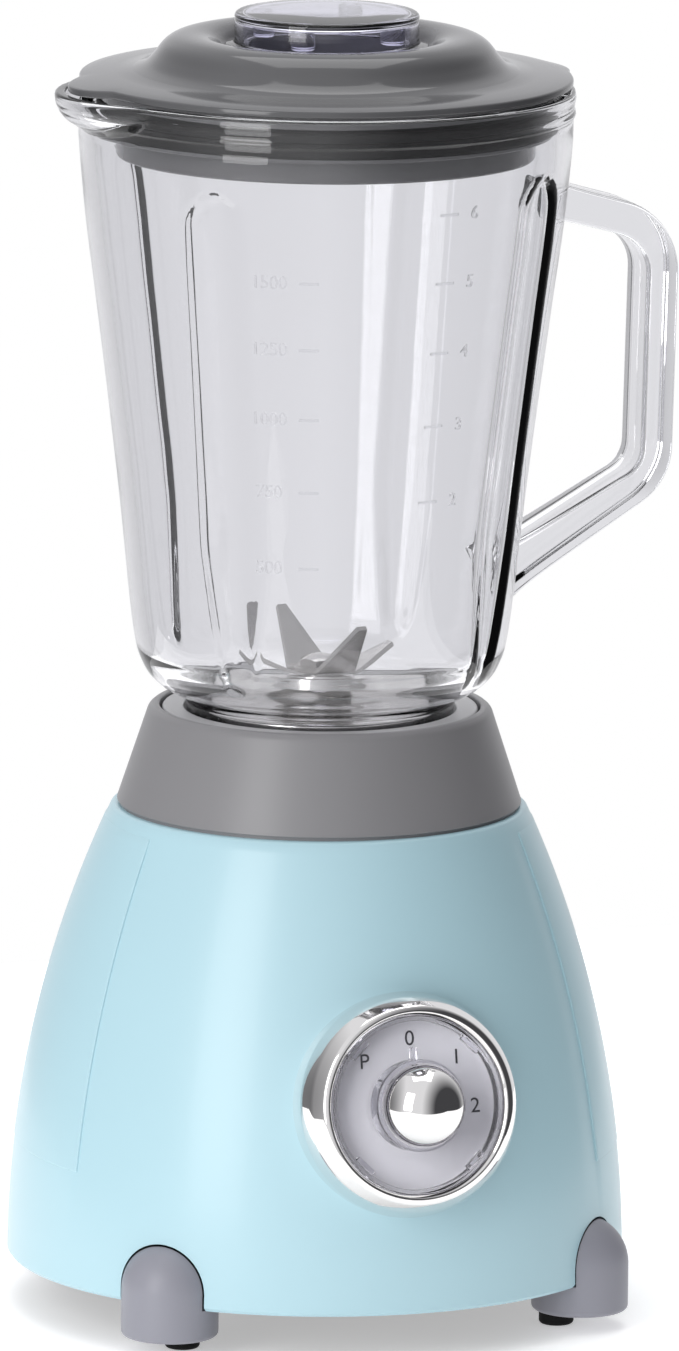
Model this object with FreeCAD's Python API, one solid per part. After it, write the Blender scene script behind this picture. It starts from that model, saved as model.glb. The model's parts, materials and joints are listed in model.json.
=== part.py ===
import FreeCAD, Part
import math
import os

# Countertop blender: a motor base with a dial, a glass jug with a blade unit, and a lid with a filler cap.
# Millimetres.  Z = 0 is the table, Z is the drive axis, -Y is the dial side, +X the jug's handle.

# Housing: one large arc turned about the drive axis
BODY_ARC_R = 335.0
BODY_MAX_R = 93.65
BODY_MAX_Z = 13.0
BODY_BOTTOM = 15.0
BODY_TOP = 153.5
BODY_WALL = 2.8
DECK_HOLE_R = 20.0

# Rear cover: a skin let into the housing round the back
COVER_START = -40.0
COVER_SWEEP = 240.0
COVER_BOTTOM = 50.0
COVER_TOP = 150.0
COVER_RECESS = 1.6
COVER_PROUD = 0.2

# Feet, pads and the screws under them
FOOT_ANGLES = {"front_left": -137.75, "front_right": -42.25, "rear_right": 48.0, "rear_left": 132.0}
FOOT_ORBIT = 87.9
FOOT_R = 14.65
FOOT_BOTTOM = 5.3
FOOT_SHOULDER = 20.0
FOOT_DOME = 14.2
FOOT_ROUND = 1.6
PAD_ORBIT = 80.3
PAD_R = 5.3
PAD_TOP = 7.2
PLATE_TOP = 18.0
PLATE_GAP = 0.4
PLATE_SCREW_ORBIT = 80.0
PLATE_SCREW_ANGLES = [0.0, 90.0, 180.0, 270.0]
SCREW_R = 1.45
SCREW_HEAD_R = 3.0
SCREW_HEAD_H = 2.2

# Seat and collar under the jug
SEAT_FLOOR = 156.0
SEAT_R = 58.0
SEAT_HOLE_R = 18.5
COLLAR_TOP = 184.0
COLLAR_BORE_R = 48.6
LUG_COUNT = 4
LUG_W = 6.0
LUG_H = 2.4

# Motor
SHAFT_R = 4.0
RUNNING_GAP = 0.05
STACK_BOTTOM = 72.0
STACK_TOP = 108.0
STACK_X = 70.0
STACK_Y = 64.0
BORE_R = 17.5
ROTOR_R = 16.9
ROTOR_SLOTS = 12
BOLT_X = 30.5
BOLT_Y = 27.5
BOLT_R = 2.0
LOWER_PLATE = 38.0
UPPER_PLATE = 130.0
PLATE_T = 3.0
BEARING_R = 9.5
BEARING_H = 7.0
MOUNT_X = 40.0
MOUNT_Y = 22.0
COMMUTATOR_R = 11.0
COMMUTATOR_Z = 54.0
FAN_R = 27.0
FAN_Z = 117.0
FAN_BLADES = 9

# Couplings between the motor and the blades
COUPLING_Z = 158.5
COUPLING_R = 14.5
SOCKET_Z = 163.0
COUPLING_TOP = 171.0
TOOTH_COUNT = 6
TOOTH_TIP_R = 9.6
TOOTH_ROOT_R = 6.6
TOOTH_GAP = 0.4

# Jug
JUG_BOTTOM = 164.5
JUG_RIM = 373.0
NECK_R = 40.7
NECK_BORE_R = 35.0
DIAGONALS = [45.0, 135.0, 225.0, 315.0]
FLUTE_R = 16.0
FLUTE_DEPTH = 2.6
FLUTE_LOW = (56.2, 204.0)
FLUTE_HIGH = (73.6, 342.0)
SPOUT_X = -44.5
SPOUT_R = 39.1
SPOUT_FLOOR = 358.4
SPOUT_WALL = 3.4
HANDLE_W = 21.0
HANDLE_ROUND = 2.4

# Jug foot: nut, gasket and blade unit
NUT_R = 47.6
NUT_BORE_R = 41.2
NUT_TOP = 183.0
NUT_LIP_R = 28.0
FLANGE_TOP = 162.0
FLANGE_R = 39.8
HUB_R = 34.4
BLADE_SHAFT_R = 3.5
BUSH_R = 6.0
BLADE_PLANE = 193.2
BLADE_T = 1.5
BLADE_NUT_AF = 11.0

# Lid and filler cap
BRIM_R = 74.3
BRIM_BOTTOM = 374.0
BRIM_TOP = 377.0
SPOUT_TAB_REACH = 80.4
SPOUT_TAB_X = -60.0
HANDLE_TAB_REACH = 76.2
HANDLE_TAB_X = 58.0
LID_HOLE_R = 26.4
WELL_FLOOR = 384.3
PLUG_R = 68.3
GROOVE_R = 65.0
GROOVE_BOTTOM = 361.0
GROOVE_TOP = 369.7
GASKET_R = 69.2
CAP_R = 27.8
CAP_TOP = 396.2
CAP_SKIRT_R = 25.9

# Dial: its own axis leans back from the horizontal
DIAL_Z = 78.0
DIAL_LEAN = 10.5
BEZEL_R = 33.9
BEZEL_BORE_R = 26.8
BEZEL_FRONT = 11.0
FACE_R = 26.4
FACE_FRONT = 4.0
LENS_FRONT = 10.2
KNOB_R = 13.8
KNOB_BACK = 5.9
KNOB_SHOULDER = 14.0
KNOB_TOP = 26.8
CHROME_T = 1.4
SPINDLE_R = 3.0
SWITCH_SIDE = 32.0
SWITCH_SCREW_X = 20.0

# Cord inlet
GLAND_Z = 30.0
GLAND_R = 6.5
GLAND_BORE_R = 3.75

UP = FreeCAD.Vector(0, 0, 1)
ORIGIN = FreeCAD.Vector(0, 0, 0)


def body_r(z, inset=0.0):
    """Radius of the housing's arc at height z, or of a skin inset from it."""
    return BODY_MAX_R - BODY_ARC_R + math.sqrt((BODY_ARC_R - inset) ** 2 - (z - BODY_MAX_Z) ** 2)


def body_arc(low, high, inset=0.0):
    """Start point, mid point and end point of the housing's arc between two heights."""
    return [(body_r(z, inset), z) for z in (low, (low + high) / 2, high)]


def section(*steps):
    """Closed face in the XZ plane; a step is (r, z), or a pair of points for an arc's middle and end."""
    edges = []
    first = FreeCAD.Vector(steps[0][0], 0, steps[0][1])
    here = first
    for step in steps[1:]:
        if isinstance(step[0], tuple):
            middle = FreeCAD.Vector(step[0][0], 0, step[0][1])
            there = FreeCAD.Vector(step[1][0], 0, step[1][1])
            edges.append(Part.Arc(here, middle, there).toShape())
        else:
            there = FreeCAD.Vector(step[0], 0, step[1])
            edges.append(Part.makeLine(here, there))
        here = there
    edges.append(Part.makeLine(here, first))
    return Part.Face(Part.Wire(edges))


def crown(edge_r, edge_z, top_z):
    """Arc from an edge up to the axis, level where it meets the axis."""
    rise = top_z - edge_z
    arc_r = (edge_r ** 2 + rise ** 2) / (2 * rise)
    half = math.asin(min(1.0, edge_r / arc_r)) / 2
    return (arc_r * math.sin(half), top_z - arc_r * (1 - math.cos(half))), (0, top_z)


def turned(*steps):
    return section(*steps).revolve(ORIGIN, UP, 360)


def drum(radius, low, high, x=0.0, y=0.0):
    return Part.makeCylinder(radius, high - low, FreeCAD.Vector(x, y, low))


def tube(outer, inner, low, high, x=0.0, y=0.0):
    return drum(outer, low, high, x, y).cut(drum(inner, low, high, x, y))


def block(x_low, x_high, y_low, y_high, z_low, z_high):
    corner = FreeCAD.Vector(x_low, y_low, z_low)
    return Part.makeBox(x_high - x_low, y_high - y_low, z_high - z_low, corner)


def spun(shape, angle):
    copy = shape.copy()
    copy.rotate(ORIGIN, UP, angle)
    return copy


def around(shape, angles):
    return [spun(shape, angle) for angle in angles]


def ring_of(shape, count):
    return around(shape, [360.0 * i / count for i in range(count)])


def polar(radius, angle):
    return radius * math.cos(math.radians(angle)), radius * math.sin(math.radians(angle))


def at_dial(shape):
    """Moves a shape drawn about Z onto the dial's leaning axis."""
    copy = shape.copy()
    turn = FreeCAD.Rotation(FreeCAD.Vector(1, 0, 0), 90 - DIAL_LEAN)
    copy.Placement = FreeCAD.Placement(FreeCAD.Vector(0, -body_r(DIAL_Z), DIAL_Z), turn)
    return copy


def four(x, y):
    return [(x, y), (-x, y), (-x, -y), (x, -y)]


def save(name, *solids):
    shape = solids[0] if len(solids) == 1 else Part.makeCompound(list(solids))
    if not shape.isValid():
        raise ValueError(name + " is not valid")
    shape.exportStep("parts/" + name + ".step")
    print(name, len(shape.Solids), round(shape.Volume))
    return shape


# ---- Base: housing, covers, feet ----

def body_volume():
    low, middle, high = body_arc(BODY_BOTTOM, BODY_TOP)
    return turned((0, BODY_BOTTOM), low, (middle, high), (0, BODY_TOP))


def screw_boss(angle):
    """Boss for one base screw, on a rib that runs out to the wall."""
    boss = drum(5.0, PLATE_TOP, 40.0, PLATE_SCREW_ORBIT)
    rib = block(PLATE_SCREW_ORBIT, BODY_MAX_R, -2.0, 2.0, PLATE_TOP, 38.0)
    hole = drum(1.6, PLATE_TOP, 34.0, PLATE_SCREW_ORBIT)
    return spun(boss.fuse(rib).cut(hole), angle)


def cover_skin(inner, outer):
    """Skin round the back between two offsets from the housing's arc."""
    low, middle, high = body_arc(COVER_BOTTOM, COVER_TOP, -outer)
    back_low, back_middle, back_high = body_arc(COVER_BOTTOM, COVER_TOP, -inner)
    skin = section(low, (middle, high), back_high, (back_middle, back_low))
    skin.rotate(ORIGIN, UP, COVER_START)
    return skin.revolve(ORIGIN, UP, COVER_SWEEP)


def make_housing(outer):
    low, middle, high = body_arc(BODY_BOTTOM, BODY_TOP)
    ceiling = BODY_TOP - BODY_WALL
    in_low, in_middle, in_high = body_arc(BODY_BOTTOM, ceiling, BODY_WALL)
    shell = turned(low, (middle, high), (DECK_HOLE_R, BODY_TOP), (DECK_HOLE_R, ceiling), in_high,
                   (in_middle, in_low))
    for angle in PLATE_SCREW_ANGLES:
        shell = shell.fuse(screw_boss(angle).common(outer))
    shell = shell.cut(cover_skin(-COVER_RECESS, COVER_PROUD))
    shell = shell.cut(at_dial(drum(30.0, -20.0, 20.0)))
    return shell.cut(gland_drum(GLAND_R))


def make_base_plate():
    plate = drum(body_r(PLATE_TOP, BODY_WALL) - PLATE_GAP, BODY_BOTTOM, PLATE_TOP)
    for x, y in four(MOUNT_X, MOUNT_Y):
        post = drum(5.5, PLATE_TOP, 30.0, x, y)
        plate = plate.fuse(post).cut(drum(1.6, 20.0, 30.0, x, y))
    for angle in FOOT_ANGLES.values():
        x, y = polar(PAD_ORBIT, angle)
        boss = tube(3.4, SCREW_R, PLATE_TOP, 24.0, x, y)
        plate = plate.fuse(boss).cut(drum(SCREW_R, BODY_BOTTOM, PLATE_TOP, x, y))
    for angle in PLATE_SCREW_ANGLES:
        x, y = polar(PLATE_SCREW_ORBIT, angle)
        plate = plate.cut(drum(1.6, BODY_BOTTOM, PLATE_TOP, x, y))
    vent = block(-15.0, 15.0, -1.6, 1.6, BODY_BOTTOM, PLATE_TOP)
    for row in range(-4, 5):
        slot = vent.copy()
        slot.translate(FreeCAD.Vector(0, 7.0 * row, 0))
        plate = plate.cut(slot)
    return plate


def make_foot(angle, outer):
    dome = crown(FOOT_R, FOOT_SHOULDER, FOOT_SHOULDER + FOOT_DOME)
    inset = FOOT_ROUND * (1 - math.cos(math.pi / 4))
    round_mid = (FOOT_R - inset, FOOT_BOTTOM + inset)
    foot = turned((0, FOOT_BOTTOM), (FOOT_R - FOOT_ROUND, FOOT_BOTTOM),
                  (round_mid, (FOOT_R, FOOT_BOTTOM + FOOT_ROUND)), (FOOT_R, FOOT_SHOULDER), dome)
    foot.translate(FreeCAD.Vector(FOOT_ORBIT, 0, 0))
    foot = foot.cut(outer)
    foot = foot.cut(drum(PAD_R + 0.1, 0, PAD_TOP, PAD_ORBIT))
    foot = foot.cut(drum(SCREW_HEAD_R + 0.2, 0, PAD_TOP + SCREW_HEAD_H, PAD_ORBIT))
    foot = foot.cut(drum(1.6, 0, BODY_BOTTOM, PAD_ORBIT))
    return spun(foot, angle)


def make_pad(angle):
    pad = turned((0, 0), (PAD_R - 0.8, 0), ((PAD_R - 0.23, 0.23), (PAD_R, 0.8)), (PAD_R, PAD_TOP),
                 (0, PAD_TOP))
    pad.translate(FreeCAD.Vector(PAD_ORBIT, 0, 0))
    return spun(pad, angle)


def make_screw(x, y, head_low, head_h, tip):
    head = drum(SCREW_HEAD_R, head_low, head_low + head_h, x, y)
    slot = block(x - 2.0, x + 2.0, y - 0.4, y + 0.4, head_low, head_low + head_h / 2)
    return head.cut(slot).fuse(drum(SCREW_R, head_low + head_h, tip, x, y))


def make_collar():
    return turned((59.0, BODY_TOP), (60.6, BODY_TOP), (60.6, BODY_TOP + 0.9), (61.4, BODY_TOP + 0.9),
                  (52.3, COLLAR_TOP - 3.0), ((51.5, COLLAR_TOP - 0.8), (49.9, COLLAR_TOP)),
                  (COLLAR_BORE_R, COLLAR_TOP - 0.8), (COLLAR_BORE_R, SEAT_FLOOR + 0.1),
                  (50.4, SEAT_FLOOR + 0.1), (50.4, COLLAR_TOP - 5.5))


def make_jug_seat():
    seat = tube(SEAT_R, SEAT_HOLE_R, BODY_TOP, SEAT_FLOOR)
    lip = tube(SEAT_HOLE_R + 1.6, SEAT_HOLE_R, SEAT_FLOOR, SEAT_FLOOR + 3.0)
    lug = block(31.0, 40.0, -LUG_W / 2, LUG_W / 2, SEAT_FLOOR, SEAT_FLOOR + LUG_H)
    return seat.fuse([lip] + ring_of(lug, LUG_COUNT)).removeSplitter()


def make_shaft_seal():
    low = BODY_TOP - BODY_WALL
    return turned((SHAFT_R + 0.35, low), (DECK_HOLE_R - 1.6, low), (DECK_HOLE_R - 1.6, SEAT_FLOOR + 0.8),
                  (SHAFT_R + 3.0, SEAT_FLOOR + 0.8), (SHAFT_R + 0.35, SEAT_FLOOR - 1.0))


# ---- Dial ----

def make_bezel(outer):
    ring = turned((14.0, -1.0), (BEZEL_BORE_R, -1.0), (BEZEL_BORE_R, -10.0), (BEZEL_R, -10.0),
                  (BEZEL_R, 1.0), ((BEZEL_R - 1.9, 6.2), (BEZEL_R - 4.6, BEZEL_FRONT - 0.9)),
                  ((BEZEL_R - 5.6, BEZEL_FRONT), (BEZEL_R - 6.8, BEZEL_FRONT - 0.5)),
                  (BEZEL_BORE_R, BEZEL_FRONT - 1.4), (BEZEL_BORE_R, 1.5), (14.0, 1.5))
    screw_holes = [drum(1.6, -1.0, 1.5, x, 0) for x in (-SWITCH_SCREW_X, SWITCH_SCREW_X)]
    sleeve = at_dial(drum(29.9, -12.0, 12.0))
    placed = at_dial(ring.cut(Part.makeCompound(screw_holes)))
    outside = placed.cut(outer)
    inside = placed.common(sleeve)
    return outside.fuse(inside).removeSplitter()


def make_dial_lens():
    plate = tube(BEZEL_BORE_R - 0.2, SPINDLE_R + 1.5, FACE_FRONT, FACE_FRONT + 1.2)
    rim = tube(BEZEL_BORE_R - 0.2, 25.4, FACE_FRONT, LENS_FRONT)
    tab = block(24.0, 26.2, -3.5, 3.5, LENS_FRONT - 3.0, LENS_FRONT)
    return at_dial(plate.fuse([rim] + around(tab, DIAGONALS)).removeSplitter())


def make_switch_body():
    half = SWITCH_SIDE / 2
    case = block(-half, half, -half, half, -30.0, -9.0)
    ears = block(-24.0, 24.0, -5.0, 5.0, -9.0, -7.0)
    neck = drum(7.0, -9.0, 0.0)
    terminals = [block(x - 1.5, x + 1.5, -0.4, 0.4, -37.0, -30.0) for x in (-10.0, 0.0, 10.0)]
    holes = [drum(SPINDLE_R + RUNNING_GAP, -20.0, 0.0), drum(SCREW_R, -9.0, -7.0, -SWITCH_SCREW_X),
             drum(SCREW_R, -9.0, -7.0, SWITCH_SCREW_X)]
    return at_dial(case.fuse([ears, neck] + terminals).cut(Part.makeCompound(holes)))


def make_switch_screw(x):
    head = drum(2.6, -11.0, -9.0, x, 0)
    return at_dial(head.fuse(drum(SCREW_R, -9.0, 1.5, x, 0)).cut(drum(SCREW_R, -30.0, -9.5, x, 0)))


def make_knob_ring():
    ring = turned((SPINDLE_R, KNOB_BACK), (KNOB_R, KNOB_BACK), (KNOB_R, KNOB_SHOULDER - 0.8),
                  (KNOB_R - 0.8, KNOB_SHOULDER), (SPINDLE_R, KNOB_SHOULDER))
    nib = block(-0.9, 0.9, KNOB_R - 1.0, 17.4, KNOB_BACK, KNOB_BACK + 3.0)
    return at_dial(ring.fuse(nib).removeSplitter())


def make_knob_cap():
    base_r = KNOB_R - 0.9
    hollow_r = base_r - CHROME_T
    outside = turned((0, KNOB_SHOULDER), (base_r, KNOB_SHOULDER), crown(base_r, KNOB_SHOULDER, KNOB_TOP))
    hollow = turned((0, KNOB_SHOULDER), (hollow_r, KNOB_SHOULDER),
                    crown(hollow_r, KNOB_SHOULDER, KNOB_TOP - CHROME_T))
    return at_dial(outside.cut(hollow))


# ---- Motor ----

def make_stator():
    iron = block(-STACK_X / 2, STACK_X / 2, -STACK_Y / 2, STACK_Y / 2, STACK_BOTTOM, STACK_TOP)
    windows = [block(x, x + 12.5, -25.0, 25.0, STACK_BOTTOM, STACK_TOP) for x in (-27.0, 14.5)]
    holes = [drum(BOLT_R + 0.1, STACK_BOTTOM, STACK_TOP, x, y) for x, y in four(BOLT_X, BOLT_Y)]
    return iron.cut(windows + holes + [drum(BORE_R, STACK_BOTTOM, STACK_TOP)])


def make_winding(side):
    coil = block(-26.0, 26.0, 18.8, 24.5, STACK_BOTTOM - 7.0, STACK_TOP + 7.0)
    coil = coil.makeFillet(2.0, [edge for edge in coil.Edges if edge.Length < 6.0])
    coil = coil.cut(block(-14.6, 14.6, 18.0, 25.0, STACK_BOTTOM - 0.1, STACK_TOP + 0.1))
    return coil if side > 0 else spun(coil, 180)


def bearing_plate(low, boss_low, boss_high):
    plate = block(-46.0, 46.0, -31.0, 31.0, low, low + PLATE_T)
    plate = plate.fuse(drum(13.0, boss_low, boss_high))
    holes = [drum(BOLT_R + 0.1, low, low + PLATE_T, x, y) for x, y in four(BOLT_X, BOLT_Y)]
    holes += [drum(BOLT_R, low, low + PLATE_T, x, y) for x, y in four(MOUNT_X, MOUNT_Y)]
    return plate.cut(holes)


def make_bottom_bracket():
    bracket = bearing_plate(LOWER_PLATE, LOWER_PLATE - 2.0, LOWER_PLATE + 10.0)
    return bracket.cut([drum(BEARING_R, LOWER_PLATE, LOWER_PLATE + 10.0), drum(6.0, 30.0, 60.0)])


def make_top_bracket():
    bracket = bearing_plate(UPPER_PLATE, UPPER_PLATE, UPPER_PLATE + 12.0)
    return bracket.cut([drum(BEARING_R, UPPER_PLATE, UPPER_PLATE + 10.0), drum(6.0, 120.0, 150.0)])


def make_bearing(low):
    ring = tube(BEARING_R, SHAFT_R + RUNNING_GAP, low, low + BEARING_H)
    groove = tube(8.0, 5.5, low + BEARING_H - 0.5, low + BEARING_H)
    return ring.cut(groove)


def make_motor_bolt(x, y):
    head = drum(3.6, UPPER_PLATE + PLATE_T, UPPER_PLATE + PLATE_T + 3.0, x, y)
    shank = drum(BOLT_R, LOWER_PLATE - 4.0, UPPER_PLATE + PLATE_T, x, y)
    nut = tube(3.6, BOLT_R, LOWER_PLATE - 3.0, LOWER_PLATE, x, y)
    return head.fuse([shank, nut])


def make_rotor_core():
    core = tube(ROTOR_R, SHAFT_R, STACK_BOTTOM, STACK_TOP)
    slot = drum(1.7, STACK_BOTTOM, STACK_TOP, ROTOR_R - 2.6)
    mouth = block(ROTOR_R - 2.6, ROTOR_R + 1.0, -0.7, 0.7, STACK_BOTTOM, STACK_TOP)
    return core.cut(ring_of(slot.fuse(mouth), ROTOR_SLOTS))


def make_commutator():
    drum_part = tube(COMMUTATOR_R, SHAFT_R, COMMUTATOR_Z, COMMUTATOR_Z + 12.0)
    riser = tube(COMMUTATOR_R + 1.5, SHAFT_R, COMMUTATOR_Z + 12.0, COMMUTATOR_Z + 14.5)
    gap = block(COMMUTATOR_R - 0.8, COMMUTATOR_R + 2.0, -0.25, 0.25, COMMUTATOR_Z, COMMUTATOR_Z + 14.5)
    return drum_part.fuse(riser).cut(ring_of(gap, ROTOR_SLOTS))


def make_brush_holder(angle):
    z = COMMUTATOR_Z + 6.0
    sleeve = block(14.0, 32.0, -4.5, 4.5, z - 5.0, z + 5.0)
    foot = block(24.0, 32.0, -4.5, 4.5, LOWER_PLATE + PLATE_T, z - 5.0)
    return spun(sleeve.fuse(foot).cut(block(13.0, 30.0, -3.0, 3.0, z - 3.5, z + 3.5)), angle)


def make_brush(angle):
    z = COMMUTATOR_Z + 6.0
    return spun(block(COMMUTATOR_R + 0.35, 26.0, -3.0, 3.0, z - 3.5, z + 3.5), angle)


def make_fan():
    hub = tube(9.0, SHAFT_R, FAN_Z, FAN_Z + 9.0)
    disc = tube(FAN_R, SHAFT_R, FAN_Z, FAN_Z + 1.5)
    blade = block(8.0, FAN_R - 1.0, -0.8, 0.8, FAN_Z + 1.0, FAN_Z + 9.0)
    blade.rotate(FreeCAD.Vector(8.0, 0, 0), UP, 20.0)
    return hub.fuse([disc] + ring_of(blade, FAN_BLADES)).removeSplitter()


# ---- Couplings ----

def star(tip, root, low, high):
    """Six-toothed prism about the drive axis."""
    points = []
    step = 360.0 / TOOTH_COUNT
    for tooth in range(TOOTH_COUNT):
        for radius, offset in ((root, -0.34), (tip, -0.17), (tip, 0.17), (root, 0.34)):
            x, y = polar(radius, (tooth + offset) * step)
            points.append(FreeCAD.Vector(x, y, low))
    points.append(points[0])
    return Part.Face(Part.makePolygon(points)).extrude(FreeCAD.Vector(0, 0, high - low))


def make_drive_coupling():
    body = turned((SHAFT_R, COUPLING_Z), (COUPLING_R, COUPLING_Z), (COUPLING_R, COUPLING_TOP - 1.2),
                  (COUPLING_R - 1.2, COUPLING_TOP), (0, COUPLING_TOP), (0, SOCKET_Z), (SHAFT_R, SOCKET_Z))
    return body.cut(star(TOOTH_TIP_R, TOOTH_ROOT_R, SOCKET_Z, COUPLING_TOP + 1.0))


def make_driven_coupling():
    low = SOCKET_Z + 0.6
    teeth = star(TOOTH_TIP_R - TOOTH_GAP, TOOTH_ROOT_R - TOOTH_GAP, low, COUPLING_TOP + 1.0)
    collar = drum(TOOTH_TIP_R, COUPLING_TOP + 1.0, COUPLING_TOP + 3.5)
    return teeth.fuse(collar).cut(drum(BLADE_SHAFT_R, low + 2.0, COUPLING_TOP + 4.0))


# ---- Jug ----

def jug_outer():
    return turned((0, JUG_BOTTOM), (NECK_R, JUG_BOTTOM), (NECK_R, 185.0), ((48.6, 190.4), (53.9, 197.0)),
                  ((56.0, 203.0), (57.0, 209.0)), ((64.8, 277.0), (72.1, 333.0)),
                  ((74.5, 355.0), (75.0, JUG_RIM - 1.2)), ((74.6, JUG_RIM - 0.3), (73.8, JUG_RIM)),
                  (0, JUG_RIM))


def jug_inner():
    return turned((0, JUG_BOTTOM), (NECK_BORE_R, JUG_BOTTOM), (NECK_BORE_R, 187.0),
                  ((44.0, 192.6), (50.2, 200.0)), ((51.6, 204.5), (52.4, 209.0)),
                  ((60.1, 277.0), (67.3, 333.0)), ((69.6, 355.0), (70.2, JUG_RIM - 1.0)),
                  (71.2, JUG_RIM), (71.2, JUG_RIM + 1.0), (0, JUG_RIM + 1.0))


def along_wall(radius, offset, low, high):
    """Round-ended bar that follows the jug's wall, offset outward from two wall points."""
    start = FreeCAD.Vector(low[0] + offset, 0, low[1])
    end = FreeCAD.Vector(high[0] + offset, 0, high[1])
    run = (end - start).Length
    slant = radius * math.cos(math.pi / 4)
    bar = turned((0, -radius), ((slant, -slant), (radius, 0)), (radius, run), crown(radius, run, run + radius))
    bar.Placement = FreeCAD.Placement(start, FreeCAD.Rotation(UP, end - start))
    return bar


def spout(inset):
    """Bowl whose front bulges out past the rim; inset makes the hollow inside it."""
    wide = SPOUT_R - inset
    floor = SPOUT_FLOOR + inset
    top = JUG_RIM + inset
    bowl = turned((0, floor), (wide - 14.0, floor + 0.6), ((wide - 3.4, floor + 5.4), (wide, top)), (0, top))
    bowl.translate(FreeCAD.Vector(SPOUT_X, 0, 0))
    return bowl


def make_handle():
    side = section((70.5, 341.8), (89.5, 337.3), ((105.0, 328.2), (109.9, 309.5)), (108.6, 263.0),
                   ((106.2, 250.6), (98.0, 241.5)), (56.0, 215.5), (55.0, 230.5), (87.0, 249.0),
                   ((96.0, 256.0), (98.8, 266.0)), (99.8, 309.0), ((97.6, 319.8), (88.3, 325.2)),
                   (69.5, 330.9))
    side.translate(FreeCAD.Vector(0, -HANDLE_W / 2, 0))
    strap = side.extrude(FreeCAD.Vector(0, HANDLE_W, 0))
    across = FreeCAD.Vector(0, 1, 0)
    lengthwise = []
    for edge in strap.Edges:
        middle = edge.valueAt((edge.FirstParameter + edge.LastParameter) / 2)
        flat = abs(edge.Vertexes[0].Y - edge.Vertexes[-1].Y) < 0.01
        if flat and middle.x > 76.0 and abs(edge.tangentAt(edge.FirstParameter).dot(across)) < 0.01:
            lengthwise.append(edge)
        elif flat and 60.0 < middle.x <= 76.0 and middle.z < 250.0:
            lengthwise.append(edge)
    return strap.makeFillet(HANDLE_ROUND, lengthwise)


def make_jug():
    glass = jug_outer().fuse(spout(0)).cut([jug_inner(), spout(SPOUT_WALL)])
    groove = along_wall(FLUTE_R, FLUTE_R - FLUTE_DEPTH, FLUTE_LOW, FLUTE_HIGH)
    glass = glass.cut(around(groove, DIAGONALS))
    return glass.fuse(make_handle())


def make_jar_nut():
    nut = turned((NUT_LIP_R, SEAT_FLOOR), (NUT_R - 1.0, SEAT_FLOOR), (NUT_R, SEAT_FLOOR + 1.0),
                 (NUT_R, NUT_TOP - 1.0), ((NUT_R - 0.3, NUT_TOP - 0.3), (NUT_R - 1.0, NUT_TOP)),
                 (NUT_R - 1.8, NUT_TOP - 0.6), (NUT_BORE_R, NUT_TOP - 0.6), (NUT_BORE_R, SEAT_FLOOR + 2.6),
                 (NUT_LIP_R, SEAT_FLOOR + 2.6))
    notch = block(26.0, 41.0, -LUG_W / 2 - 1.0, LUG_W / 2 + 1.0, SEAT_FLOOR - 1.0, SEAT_FLOOR + 3.0)
    return nut.cut(ring_of(notch, LUG_COUNT))


def make_blade_base():
    return turned((31.0, SEAT_FLOOR + 2.6), (FLANGE_R, SEAT_FLOOR + 2.6), (FLANGE_R, FLANGE_TOP),
                  (HUB_R, FLANGE_TOP), (HUB_R, 182.0), ((33.6, 184.2), (31.4, 185.0)), (16.0, 186.2),
                  (14.5, 189.0), (10.5, 189.6), (10.0, 191.8), (BUSH_R, 192.0), (BUSH_R, 176.0),
                  (9.0, 176.0), (9.0, 182.5), (31.0, 181.4))


def make_bush():
    return turned((BLADE_SHAFT_R + RUNNING_GAP, 177.0), (BUSH_R, 177.0), (BUSH_R, 190.4),
                  (BLADE_SHAFT_R + RUNNING_GAP, 190.4))


def wing(plane, reach, root_w, tip_w, tilt, flat):
    """One blade wing: a tapered strip whose outer part is bent up or down by tilt degrees."""
    inner = [(0, -root_w / 2), (flat, -root_w / 2), (flat, root_w / 2), (0, root_w / 2)]
    outer = [(flat, -root_w / 2), (reach, -tip_w * 0.1), (reach, tip_w * 0.9), (flat, root_w / 2)]
    solids = []
    for outline in (inner, outer):
        points = [FreeCAD.Vector(x, y, plane) for x, y in outline + outline[:1]]
        solids.append(Part.Face(Part.makePolygon(points)).extrude(FreeCAD.Vector(0, 0, BLADE_T)))
    hinge_z = plane + (0.0 if tilt > 0 else BLADE_T)
    solids[1].rotate(FreeCAD.Vector(flat, 0, hinge_z), FreeCAD.Vector(0, 1, 0), -tilt)
    return solids[0].fuse(solids[1])


def make_blade(plane, reach, tilt, angle):
    wings = [wing(plane, reach, 14.0, 3.0, tilt, 8.5)]
    wings.append(spun(wings[0], 180))
    blade = drum(8.0, plane, plane + BLADE_T).fuse(wings)
    return spun(blade, angle).cut(drum(BLADE_SHAFT_R, plane - 1.0, plane + 3.0)).removeSplitter()


def make_blade_nut(low):
    corner_r = BLADE_NUT_AF / 2 / math.cos(math.pi / 6)
    points = [FreeCAD.Vector(*polar(corner_r, 60.0 * i), low) for i in range(7)]
    hexagon = Part.Face(Part.makePolygon(points)).extrude(FreeCAD.Vector(0, 0, 4.0))
    dome = turned((0, low), (corner_r, low), (corner_r, low + 2.2), crown(corner_r, low + 2.2, low + 4.0))
    return hexagon.common(dome).cut(drum(BLADE_SHAFT_R, low, low + 3.0))


# ---- Lid and cap ----

def lid_tab(reach, centre):
    """Part of a flat disc that sticks out past the brim, centred on the X axis."""
    side = 1 if centre > 0 else -1
    disc = drum(reach - abs(centre), BRIM_BOTTOM, BRIM_TOP - 0.6, centre)
    inside = drum(BRIM_R - 8.0, BRIM_BOTTOM, BRIM_TOP)
    half = block(min(0, side * 100.0), max(0, side * 100.0), -60.0, 60.0, BRIM_BOTTOM, BRIM_TOP)
    return disc.cut(inside).common(half)


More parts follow.
